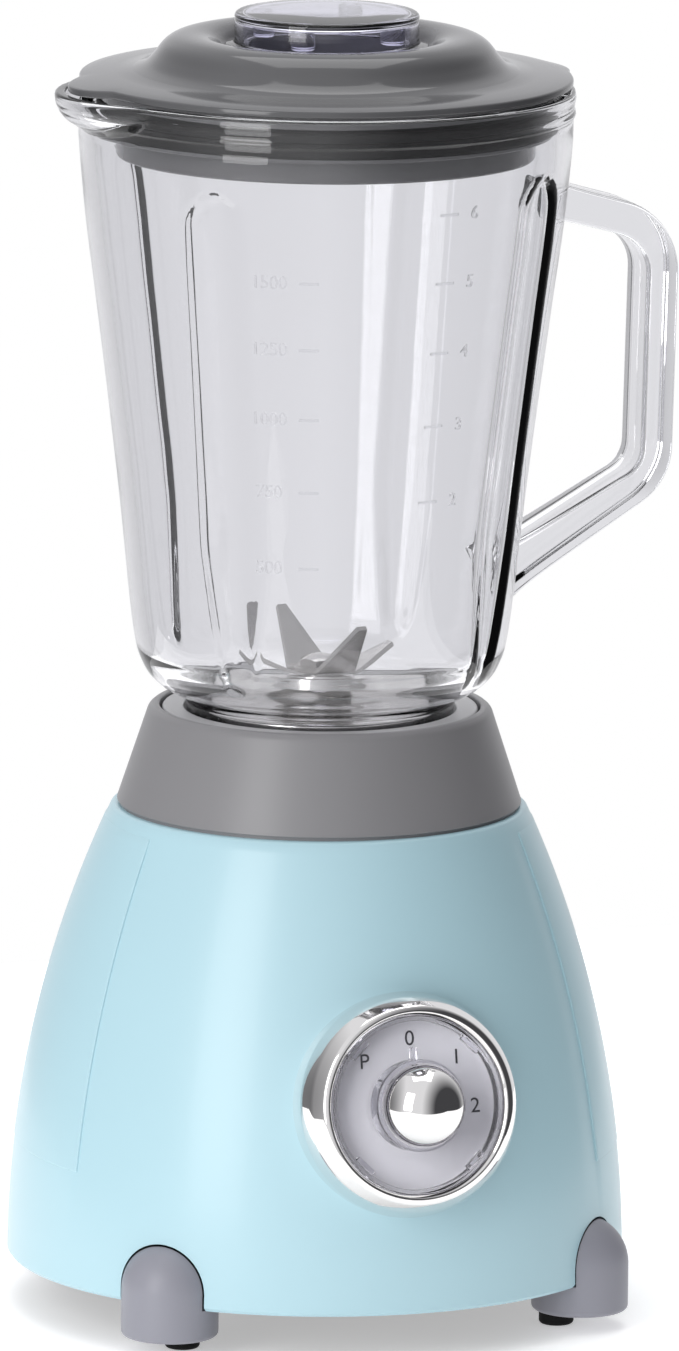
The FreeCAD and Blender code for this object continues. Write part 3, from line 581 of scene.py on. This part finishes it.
def build_feet(shell):
    """Feet with their pads, and a narrow gap round each foot in the housing's shell."""
    for corner in FOOT_PLACES:
        cad = "foot_" + corner
        low, high = mm_box(cad)
        centre = (low + high) / 2
        sole = rounded((0, low.z), (FOOT_R, low.z, 1.6), (FOOT_R, FOOT_SHOULDER), closed=False)
        foot = lathe(sole + crown_line(FOOT_R, FOOT_SHOULDER, FOOT_CROWN)[1:], steps=96)
        piece = place(cad + "_shell", moved(foot, centre.x, centre.y), "base",
                      MATERIALS["foot_grey"], [cad])
        inside = [(0, 15.0)] + body_line(15.0, 60.0) + [(0, 60.0)]
        combine(piece, lathe(inside, steps=180), "DIFFERENCE")
        wide = FOOT_R + FOOT_GAP
        around = lathe([(0, 10.0), (wide, 10.0)] + crown_line(wide, FOOT_SHOULDER, GAP_CROWN),
                       steps=96)
        combine(shell, moved(around, centre.x, centre.y), "DIFFERENCE")
        low, high = mm_box("foot_pad_" + corner)
        centre = (low + high) / 2
        radius = (high.x - low.x) / 2
        pad = lathe(rounded((0, low.z), (radius, low.z, 1.2), (radius, high.z), (0, high.z)),
                    steps=64)
        place(cad + "_rubber", moved(pad, centre.x, centre.y), "base", MATERIALS["black_rubber"],
              ["foot_pad_" + corner])


# ---- Dial ----

def text_mesh(words, size, depth):
    """Mesh data of upright lettering, centred on the origin in the XY plane."""
    curve = bpy.data.curves.new("lettering", "FONT")
    curve.body = words
    curve.size = size
    curve.extrude = depth / 2
    curve.align_x = "CENTER"
    curve.align_y = "CENTER"
    holder = add_object("lettering", curve)
    bpy.context.view_layer.update()
    graph = bpy.context.evaluated_depsgraph_get()
    data = bpy.data.meshes.new_from_object(holder.evaluated_get(graph))
    mesh = bmesh.new()
    mesh.from_mesh(data)
    bmesh.ops.remove_doubles(mesh, verts=mesh.verts, dist=1e-4)
    bpy.data.objects.remove(holder)
    bpy.data.curves.remove(curve)
    bpy.data.meshes.remove(data)
    return mesh


def build_dial():
    """Chrome bezel, silver face with its marks, and the clear cup over the face."""
    on_dial = dial_matrix()
    bezel = rounded((26.8, -9.0), (26.8, 10.0, 0.4), (28.0, 10.9, 1.0), (29.6, 10.4, 2.0),
                    (32.4, 6.0, 7.0), (33.9, 0.5, 3.0), (33.9, -9.0))
    place("bezel_ring", lathe(bezel), "base", MATERIALS["chrome_trim"], ["dial_bezel"],
          on_dial, sharp=40.0)
    face = rounded((4.5, 1.5), (26.4, 1.5), (26.4, FACE_FRONT, 0.2), (4.5, FACE_FRONT, 0.2))
    place("dial_plate", lathe(face), "base", MATERIALS["dial_silver"], ["dial_face"],
          on_dial)
    for mark, angle in DIAL_MARKS.items():
        spot = on_dial @ Matrix.Translation((*polar(MARK_ORBIT, 90.0 - angle), FACE_FRONT + 0.05))
        place("dial_mark_" + mark, text_mesh(mark, MARK_SIZE, 0.1), "base", MATERIALS["ink"],
              matrix=spot)
    lens = rounded((4.5, 4.3), (26.6, 4.3), (26.6, 10.2, 0.3), (25.3, 10.2, 0.3),
                   (25.3, 5.5, 0.6), (4.5, 5.5, 0.2))
    place("lens_cup", lathe(lens), "base", MATERIALS["clear_plastic"], ["dial_lens"],
          on_dial)
    for angle in DIAGONALS:
        tab = prism([(23.6, -3.4), (25.2, -3.4), (25.2, 3.4), (23.6, 3.4)], 7.4, 10.0, bevel=0.25)
        turn = Matrix.Rotation(math.radians(angle), 4, "Z")
        place("lens_tab_%d" % angle, tab, "base", MATERIALS["clear_plastic"],
              matrix=on_dial @ turn)


def build_knob():
    """Clear ring with a pointer, and a chrome dome on it."""
    on_dial = dial_matrix()
    ring = rounded((3.05, 5.9), (13.8, 5.9, 0.5), (13.8, 14.0, 1.0), (3.05, 14.0))
    place("knob_clear_ring", lathe(ring, steps=128), "knob", MATERIALS["clear_plastic"],
          ["knob_ring"], on_dial)
    nib = prism([(-0.9, 13.4), (0.9, 13.4), (0.9, 17.0), (0.5, 17.4), (-0.5, 17.4), (-0.9, 17.0)],
                5.9, 8.8, bevel=0.25)
    place("knob_pointer", nib, "knob", MATERIALS["clear_plastic"],
          matrix=on_dial)
    dome = [(0, 14.05), (12.4, 14.05), (12.85, 14.25)] + crown_line(12.9, 14.5, 26.8, count=28)
    place("knob_chrome_dome", lathe(dome, steps=128), "knob", MATERIALS["chrome_trim"],
          ["knob_cap"], on_dial)


# ---- Jug ----

# Glass outside, from the neck up to two beads below the rim, and inside, from the rim down
OUTER_KNOTS = ((40.7, 179.0), (40.7, 184.8), (43.4, 187.6), (49.0, 191.0), (53.9, 197.0),
               (57.0, 209.0), (61.05, 246.0), (64.8, 277.0), (68.8, 308.0), (72.1, 333.0),
               (74.2, 355.0), (74.5, 363.4), (75.1, 365.6), (74.75, 367.8), (75.15, 370.2),
               (75.0, 371.6))
INNER_KNOTS = ((70.2, 371.6), (69.6, 355.0), (67.3, 333.0), (64.0, 308.0), (60.1, 277.0),
               (56.3, 246.0), (52.4, 209.0), (49.8, 199.6), (44.0, 193.0), (38.0, 189.4),
               (35.0, 186.6))


def knot_r(knots, z):
    """Radius at a height on straight lines between knots that run upward."""
    for (r0, z0), (r1, z1) in zip(knots, knots[1:]):
        if z <= z1:
            return r0 + (r1 - r0) * (z - z0) / (z1 - z0)
    return knots[-1][0]


def inner_r(z):
    """Radius of the jug's inside at a height."""
    upward = INNER_KNOTS[::-1]
    return knot_r(upward, max(z, upward[0][1]))


def flute(angle, r, z):
    """Depth of the nearest flute at a point of the wall, 0 outside it."""
    if z > FLUTE_TOP or z < FLUTE_FOOT:
        return 0.0
    away = min(abs((angle - f + 180.0) % 360.0 - 180.0) for f in DIAGONALS)
    across = math.radians(away) * r
    half = FLUTE_HALF
    if z > FLUTE_TOP - FLUTE_HALF:
        half *= math.sqrt(max(0.0, 1 - ((z - FLUTE_TOP + FLUTE_HALF) / FLUTE_HALF) ** 2))
    if z < FLUTE_FULL:
        half *= 0.35 + 0.65 * ((z - FLUTE_FOOT) / (FLUTE_FULL - FLUTE_FOOT)) ** 0.7
    if across >= half or half <= 0:
        return 0.0
    ease = min(1.0, (z - FLUTE_FOOT) / 10.0)
    shallow = min(1.0, half / FLUTE_HALF + 0.25)
    return FLUTE_DEPTH * ease * (1 - (across / half) ** 2) ** 1.5 * shallow


def bowl_bulge(angle, r, z, inset):
    """How far the spout's bowl pushes the wall outward."""
    floor = SPOUT_FLOOR + inset
    if z <= floor:
        return 0.0
    lift = min(1.0, (SPOUT_LIP - z) / (JUG_RIM - floor)) if z < SPOUT_LIP else 0.0
    wide = (SPOUT_R - inset) * (1 - lift ** SPOUT_POWER) ** (1 / SPOUT_POWER)
    turn = math.radians(angle - 180.0)
    inside = wide ** 2 - (SPOUT_X * math.sin(turn)) ** 2
    if inside <= 0 or math.cos(turn) <= 0:
        return 0.0
    push = SPOUT_X * math.cos(turn) + math.sqrt(inside) - r
    if push <= -6 * SPOUT_BLEND:
        return 0.0
    return (push + math.sqrt(push * push + SPOUT_BLEND * SPOUT_BLEND)) / 2


def jug_warp(angle, r, z):
    """Flutes and spout. A point's place in the wall, 1 outside and 0 inside, weighs both."""
    outer = max(0.0, min(1.0, (r - inner_r(z)) / WALL_T))
    dent = flute(angle, r, z) * (0.55 + 0.45 * outer)
    out_push = bowl_bulge(angle, r, z, 0.0)
    in_push = bowl_bulge(angle, r, z, SPOUT_WALL)
    push = out_push * outer + in_push * (1 - outer)
    return r - dent + push, z


def sweep(section, frames):
    """Mesh data of a section drawn at each frame: centre, in-plane normal, thickness, width."""
    mesh = bmesh.new()
    rings = []
    for centre, normal, thick, wide in frames:
        ring = []
        for u, v in section:
            x = centre.x + normal.x * u * thick
            z = centre.y + normal.y * u * thick
            ring.append(mesh.verts.new((x, v * wide, z)))
        rings.append(ring)
    for a, b in zip(rings, rings[1:]):
        for i in range(len(a)):
            j = (i + 1) % len(a)
            mesh.faces.new([a[i], a[j], b[j], b[i]])
    mesh.faces.new(list(reversed(rings[0])))
    mesh.faces.new(rings[-1])
    return mesh


def handle_mesh():
    """Flat strap that leaves the jug high, turns down, and runs back in low."""
    corners = [(68.6, 336.9), (105.2, 326.8, 18.0), (103.6, 251.4, 15.0), (54.2, 222.0)]
    line = [Vector(p) for p in rounded(*corners, closed=False)]
    dense = []
    for a, b in zip(line, line[1:]):
        count = max(1, int((b - a).length / 2.0))
        dense += [a.lerp(b, i / count) for i in range(count)]
    dense.append(line[-1])
    run = [0.0]
    for a, b in zip(dense, dense[1:]):
        run.append(run[-1] + (b - a).length)
    total = run[-1]
    frames = []
    for i, point in enumerate(dense):
        ahead = dense[min(i + 1, len(dense) - 1)] - dense[max(i - 1, 0)]
        normal = Vector((-ahead.y, ahead.x)).normalized()
        t = run[i] / total
        thick = HANDLE_T - 0.4 * min(1.0, t / 0.3) + 3.2 * max(0.0, (t - 0.66) / 0.34)
        flare = 1 + 0.12 * math.exp(-run[i] / 4.0) + 0.16 * math.exp(-(total - run[i]) / 7.0)
        frames.append((point, normal, thick * flare, HANDLE_W))
    section = rounded((-0.5, -0.5, 0.13), (0.5, -0.5, 0.13), (0.5, 0.5, 0.13), (-0.5, 0.5, 0.13))
    return sweep(section, frames)


def build_jug():
    """Pressed glass jug in one piece with its handle."""
    low, _ = mm_box("glass_jug")
    outline = [(35.0, low.z), (40.7, low.z)]
    outline += smooth_line(*OUTER_KNOTS, spans=14)
    outline += rounded((75.0, 371.0), (75.0, JUG_RIM, 1.3), (70.2, JUG_RIM, 1.3), (70.2, 371.0),
                       closed=False)[1:-1]
    outline += smooth_line(*INNER_KNOTS, spans=14)
    piece = place("jug", lathe(outline, jug_warp, steps=480), "jug", MATERIALS["jug_glass"],
                  ["glass_jug"], sharp=60.0)
    combine(piece, handle_mesh(), "UNION", sharp=60.0)


def wrap_on_jug(mesh, angle, z):
    """Bends flat mesh data, drawn in the XY plane, onto the jug's outside."""
    for vert in mesh.verts:
        height = z + vert.co.y
        radius = knot_r(OUTER_KNOTS, height) + vert.co.z
        turn = math.radians(angle) + vert.co.x / knot_r(OUTER_KNOTS, z)
        vert.co = Vector((radius * math.cos(turn), radius * math.sin(turn), height))


def build_graduations():
    """Raised volume marks: cups beside the right front flute, millilitres beside the left one."""
    for scale, angle, side, marks in GRADUATIONS:
        joined = bmesh.new()
        for words, z in marks.items():
            bar = prism([(-3.0, -0.4), (3.0, -0.4), (3.0, 0.4), (-3.0, 0.4)], -0.1, 0.3)
            letters = text_mesh(words, NUMBER_SIZE, 0.4)
            bmesh.ops.translate(letters, verts=letters.verts, vec=(side, 0, 0.1))
            for part in (bar, letters):
                wrap_on_jug(part, angle, z)
                holder = bpy.data.meshes.new("mark")
                part.to_mesh(holder)
                part.free()
                joined.from_mesh(holder)
                bpy.data.meshes.remove(holder)
        place("graduation_" + scale, joined, "jug", MATERIALS["etched"])


def build_jug_foot():
    """Nut that holds the blade unit under the jug."""
    low, high = mm_box("jar_nut")
    outline = rounded((28.0, low.z), (47.8, low.z, 1.0), (47.8, high.z + 0.5, 0.8),
                      (41.3, high.z + 0.3, 0.5), (41.3, low.z + 2.6), (28.0, low.z + 2.6))
    place("jar_nut_ring", lathe(outline), "jug", MATERIALS["nut_grey"], ["jar_nut"])


def build_blade_unit():
    """Steel dish with the hub that carries the blades."""
    low, high = mm_box("blade_base")
    outline = rounded((31.0, low.z), (39.8, low.z), (39.8, 162.0), (34.4, 162.0),
                      (34.4, 185.0, 2.4), (16.0, 186.4, 1.0), (14.6, 189.3, 0.8),
                      (10.6, 189.6, 0.6), (10.0, high.z, 0.5), (6.0, high.z), (6.0, 176.0),
                      (9.0, 176.0), (9.0, 182.0), (31.0, 181.4))
    place("blade_base_shell", lathe(outline), "jug", MATERIALS["blade_steel"], ["blade_base"])


# ---- Lid and cap ----

def lid_warp(angle, r, z):
    """Widens the brim into a tab over the spout and a small one over the handle."""
    if r < WARP_START:
        return r, z
    reach = 0.0
    for centre, disc, at in TABS:
        turn = math.radians((angle - at + 180.0) % 360.0 - 180.0)
        inside = disc ** 2 - (centre * math.sin(turn)) ** 2
        if inside > 0 and math.cos(turn) > 0:
            push = centre * math.cos(turn) + math.sqrt(inside) - BRIM_R
            if push > -4:
                reach = max(reach, (push + math.sqrt(push * push + 0.8)) / 2)
    share = min(1.0, (r - WARP_START) / 5.0)
    return r + reach * share, z - 0.12 * reach * share


def build_lid():
    """Lid with a crest round a well for the cap, and the seal in its groove."""
    low, _ = mm_box("lid")
    top = smooth_line((58.5, 377.9), (54.8, 379.5), (52.0, 382.3), (49.0, 386.0), (45.5, 388.1),
                      (41.0, 388.7), (36.6, 388.2), (34.0, 386.8), (32.4, 384.7), spans=5)
    under = smooth_line((33.2, 382.2), (36.0, 384.9), (41.0, 386.3), (45.6, 385.2),
                        (49.4, 381.6), (52.6, 377.8), (56.6, 375.4), (61.2, 374.6), spans=5)
    outline = rounded((61.2, 374.6), (60.8, low.z, 0.6), (63.5, low.z, 0.9), (63.5, 359.4, 0.6),
                      (68.3, 359.9, 0.4), (68.3, 361.0), (65.0, 361.0), (65.0, 369.7),
                      (68.3, 369.7), (68.3, BRIM_Z, 0.3), (70.0, BRIM_Z), (BRIM_R, BRIM_Z, 0.7),
                      (BRIM_R, 376.2, 0.9), (70.0, 377.0), (64.0, 377.25), (58.5, 377.9),
                      closed=False)
    outline += top[1:] + [(32.0, FLANGE_Z), (26.4, FLANGE_Z), (26.4, 368.0), (28.6, 368.0),
                          (28.6, 381.9)]
    outline += under[:-1]
    place("lid_shell", lathe(outline, lid_warp, steps=360), "lid", MATERIALS["lid_grey"],
          ["lid"])
    seal = rounded((64.9, 361.2), (69.1, 361.2, 1.2), (69.1, 365.1, 0.4), (68.6, 365.35),
                   (69.1, 365.6, 0.4), (69.1, 369.5, 1.2), (64.9, 369.5))
    place("lid_seal", lathe(seal), "lid", MATERIALS["black_rubber"], ["lid_gasket"])


def build_cap():
    """Clear cup, upside down, with four posts under its roof."""
    low, high = mm_box("filler_cap")
    outline = [(23.7, low.z), (25.9, low.z), (25.9, FLANGE_Z)]
    outline += rounded((25.9, FLANGE_Z), (30.7, FLANGE_Z, 0.4), (30.7, FLANGE_Z + 1.4, 0.5),
                       (27.8, FLANGE_Z + 1.8, 0.5), (27.8, high.z - 0.9, 1.3),
                       (14.0, high.z - 0.15), closed=False)[1:]
    outline += [(0.0, high.z), (0.0, high.z - 2.6)]
    outline += rounded((0.0, high.z - 2.6), (25.4, high.z - 2.9, 1.2), (25.4, FLANGE_Z + 2.0, 0.8),
                       (23.7, FLANGE_Z + 1.0), closed=False)[1:]
    place("cap_cup", lathe(outline, steps=192), "cap", MATERIALS["violet_plastic"],
          ["filler_cap"])
    foot, head = FLANGE_Z + 2.2, high.z - 3.2
    for angle in POST_ANGLES:
        post = lathe(rounded((0.0, foot), (POST_R, foot, 0.8), (POST_R, head, 1.4), (0.0, head)),
                     steps=32)
        place("cap_post_%d" % angle, moved(post, *polar(POST_ORBIT, angle)), "cap",
              MATERIALS["violet_plastic"])


# ---- Stage ----

def area_light(name, location, size, power):
    """Soft light that faces the middle of the object."""
    data = bpy.data.lights.new(name, "AREA")
    data.shape = "RECTANGLE"
    data.size, data.size_y = size
    data.energy = power
    light = add_object(name, data)
    light.location = location
    light.rotation_mode = "QUATERNION"
    facing = Vector((0, 0, 0.2)) - light.location
    light.rotation_quaternion = facing.to_track_quat("-Z", "Y")


def build_floor():
    """Pale floor, just wide enough to catch the object's shadow."""
    half = 0.5
    data = bpy.data.meshes.new("floor")
    data.from_pydata([(-half, -half, 0), (half, -half, 0), (half, half, 0), (-half, half, 0)], [],
                     [(0, 1, 2, 3)])
    data.materials.append(plain("pale_floor", (0.92, 0.92, 0.92), 0.7, spread=0.004, grain=40.0,
                                bump=0.0, Emission_Color=(1, 1, 1, 1), Emission_Strength=0.4))
    add_object("floor", data)


def build_world():
    """White backdrop round pale surroundings with a dark patch on either side of the object.

    Rays that have gone through a clear piece meet a paler version of the surroundings.
    """
    world = bpy.data.worlds.new("studio")
    bpy.context.scene.world = world
    world.use_nodes = True
    tree = world.node_tree
    tree.nodes.clear()

    def add(kind, operation=None, **values):
        made = tree.nodes.new("ShaderNode" + kind)
        if operation:
            made.operation = operation
        for key, value in values.items():
            made.inputs[key.replace("_", " ")].default_value = value
        return made

    out, mix, path = add("OutputWorld"), add("MixShader"), add("LightPath")
    seen = add("Background", Color=(1, 1, 1, 1), Strength=1.0)
    lit = add("Background", Strength=1.0)
    direction = add("TexCoord")
    along = add("VectorMath", "DOT_PRODUCT")
    along.inputs[1].default_value = (0.83, -0.56, 0.0)
    shift = add("Math", "ADD")
    shift.inputs[1].default_value = 0.16
    either = add("Math", "ABSOLUTE")
    spread = add("MapRange", From_Min=0.92, From_Max=0.4)
    ramp = add("ValToRGB")
    ramp.color_ramp.elements[0].color = (0.06, 0.06, 0.065, 1)
    ramp.color_ramp.elements[1].color = (0.82, 0.82, 0.84, 1)
    through = add("Math", "MULTIPLY")
    through.inputs[1].default_value = 0.5
    soften = add("MixRGB", Color2=(0.84, 0.84, 0.86, 1))
    for source, socket, target, entry in (
            (direction, "Generated", along, 0),
            (along, "Value", shift, 0),
            (shift, "Value", either, 0),
            (either, "Value", spread, "Value"),
            (spread, "Result", ramp, "Fac"),
            (path, "Is Transmission Ray", through, 0),
            (through, "Value", soften, "Fac"),
            (ramp, "Color", soften, "Color1"),
            (soften, "Color", lit, "Color"),
            (path, "Is Camera Ray", mix, "Fac"),
            (lit, "Background", mix, 1),
            (seen, "Background", mix, 2),
            (mix, "Shader", out, "Surface")):
        tree.links.new(source.outputs[socket], target.inputs[entry])


def build_stage():
    """Floor, surroundings and two soft lights."""
    build_floor()
    build_world()
    area_light("key_left", (-1.75, -1.2, 0.8), (0.9, 1.8), 19.0)
    area_light("top", (0.1, 0.3, 2.0), (1.4, 1.4), 12.0)
    bpy.context.scene.view_settings.view_transform = "Standard"


def build_camera():
    """Long lens, slightly above the object and to the left of its dial."""
    azimuth, elevation, roll = (math.radians(v) for v in (-18.4, 10.7, 0.6))
    distance = 4.8
    level = math.cos(elevation)
    back = Vector((math.sin(azimuth) * level, -math.cos(azimuth) * level, math.sin(elevation)))
    right = Vector((math.cos(azimuth), math.sin(azimuth), 0))
    target = Vector((0, 0, 0.1926)) + right * 0.0058
    data = bpy.data.cameras.new("camera")
    data.lens = 422.7
    data.sensor_width = 36.0
    data.clip_start, data.clip_end = 0.1, 50.0
    camera = add_object("camera", data)
    camera.location = target + back * distance
    camera.rotation_mode = "QUATERNION"
    twist = Matrix.Rotation(roll, 3, "Z").to_quaternion()
    camera.rotation_quaternion = (-back).to_track_quat("-Z", "Y") @ twist
    bpy.context.scene.camera = camera


build_camera()
coat_cad_nodes()
housing_shell = build_housing()
build_rear_cover()
build_collar()
build_feet(housing_shell)
build_dial()
build_knob()
build_jug()
build_graduations()
build_jug_foot()
build_blade_unit()
build_lid()
build_cap()
build_stage()
